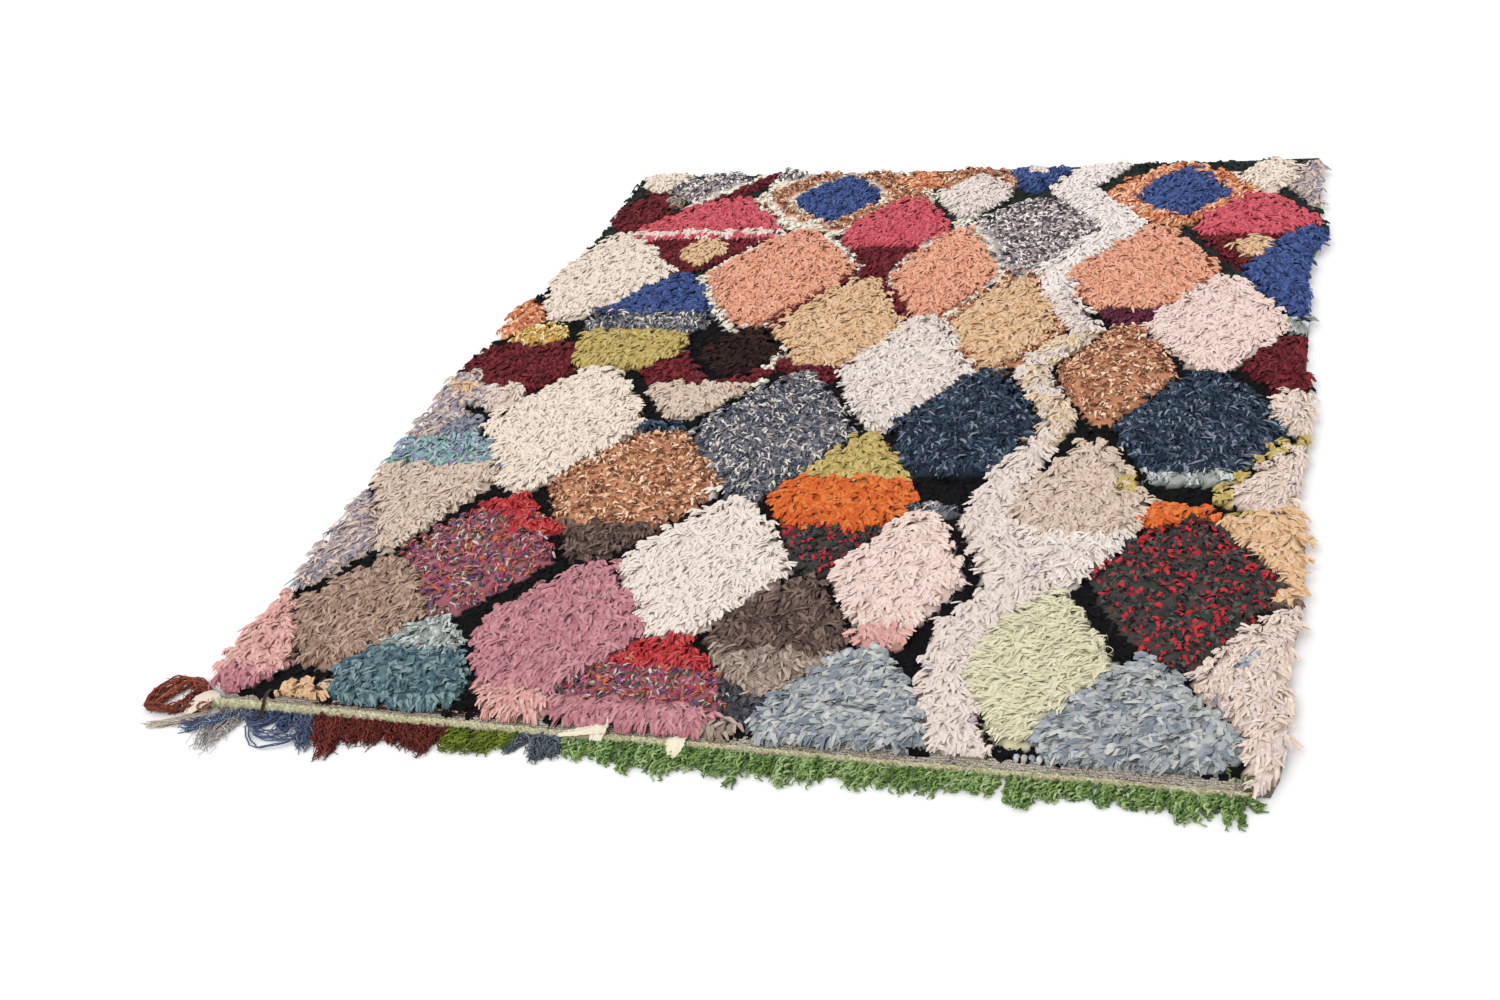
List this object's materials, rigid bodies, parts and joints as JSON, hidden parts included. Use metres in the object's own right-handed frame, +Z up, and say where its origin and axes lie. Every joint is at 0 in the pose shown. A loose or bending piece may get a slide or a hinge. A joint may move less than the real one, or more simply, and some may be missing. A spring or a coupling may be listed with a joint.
{
  "type": "boucherouite rug",
  "caption": "Shaggy rag rug of knotted cloth strips in a lozenge lattice, lying flat, with a corded and fringed near end and a corner bunch of yarn loops.",
  "frame": {"origin": "on the floor, at the middle of the underside of the rug", "axes": "+X across the rug, +Y along it from the fringed end to the far end, +Z up out of the pile"},
  "size_m": [1.6177, 1.926, 0.0321],
  "materials": {
    "rag_pile": "matt cotton and jersey rag strips in many colours, long cut pile",
    "cream_cord": "matt twisted yarn",
    "green_edging": "matt twisted yarn",
    "lilac_yarn": "matt wool yarn",
    "blue_yarn": "matt wool yarn",
    "rust_yarn": "matt wool yarn",
    "olive_yarn": "matt wool yarn",
    "slate_yarn": "matt wool yarn",
    "green_yarn": "matt wool yarn",
    "cream_rag": "matt cotton rag",
    "rust_loops": "matt wool yarn"
  },
  "bodies": {
    "root": {"pile_field": "rag_pile", "near_edging": "cream_cord", "far_edging": "green_edging", "fringe_lilac": "lilac_yarn", "fringe_blue": "blue_yarn", "fringe_rust": "rust_yarn", "fringe_olive": "olive_yarn", "fringe_slate": "slate_yarn", "fringe_green": "green_yarn", "rag_tab_left": "cream_rag", "rag_tab_right": "cream_rag", "corner_loops": "rust_loops"}
  },
  "joints": []
}
